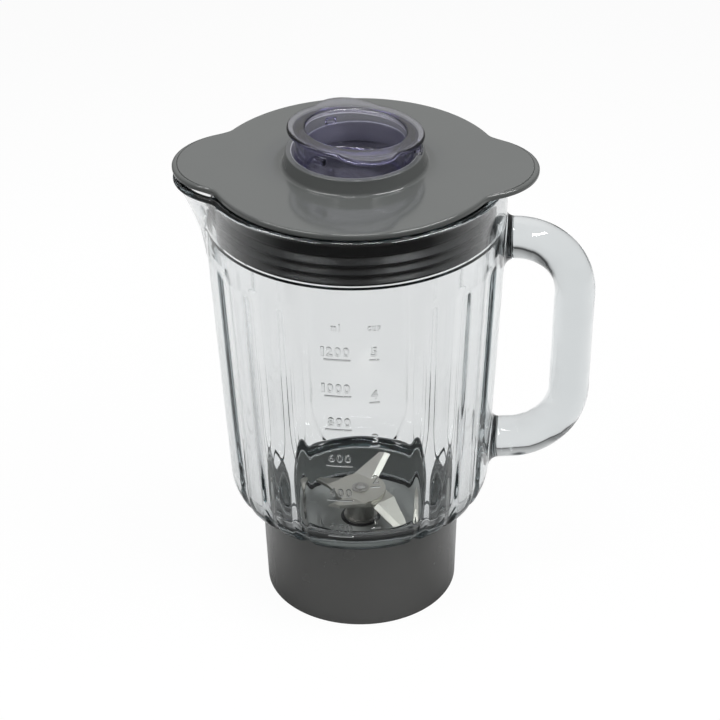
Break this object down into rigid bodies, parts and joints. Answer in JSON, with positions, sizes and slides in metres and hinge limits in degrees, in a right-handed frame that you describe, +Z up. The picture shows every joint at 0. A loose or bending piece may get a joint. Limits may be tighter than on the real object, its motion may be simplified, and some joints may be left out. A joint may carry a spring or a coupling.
{
  "type": "blender jar",
  "caption": "Fluted glass blender jar with handle and pouring lip on a grey docking base, with blade unit, eared lid, ribbed seal and clear filler cap.",
  "frame": {"origin": "middle of the base's lower face, at the mouth of the docking socket", "axes": "+Z up the jar's axis, the scale faces -Y, the handle points to +X and the pouring lip to -X"},
  "size_m": [0.1887, 0.1348, 0.2406],
  "materials": {
    "clear_glass": "pressed, polished",
    "base_grey": "moulded, satin",
    "lid_grey": "moulded, glossy",
    "seal_rubber": "moulded",
    "cap_clear": "clear tinted plastic",
    "blade_steel": "ground edges",
    "turned_steel": "turned",
    "bush_bronze": "sintered",
    "coupling_black": "moulded"
  },
  "bodies": {
    "jar": {"goblet": "clear_glass", "base": "base_grey", "base_seal": "seal_rubber", "bearing_housing": "base_grey", "housing_nut": "coupling_black", "upper_bush": "bush_bronze", "lower_bush": "bush_bronze", "shaft_seal": "seal_rubber"},
    "blade_unit": {"spindle": "turned_steel", "thrust_washer": "turned_steel", "blade_spacer": "turned_steel", "lower_blade": "blade_steel", "upper_blade": "blade_steel", "blade_washer": "turned_steel", "lower_washer": "turned_steel", "retaining_clip": "turned_steel", "drive_coupling": "coupling_black"},
    "lid": {"lid": "lid_grey", "lid_seal": "seal_rubber"},
    "cap": {"filler_cap": "cap_clear"}
  },
  "joints": [
    {"name": "blade_spin", "type": "hinge", "parent": "jar", "child": "blade_unit", "pos_m": [0, 0, 0.04], "axis": [0, 0, 1], "continuous": true},
    {"name": "lid_lift", "type": "slide", "parent": "jar", "child": "lid", "axis": [0, 0, 1], "range_m": [0, 0.06]},
    {"name": "cap_lift", "type": "slide", "parent": "lid", "child": "cap", "axis": [0, 0, 1], "range_m": [0, 0.04]}
  ]
}
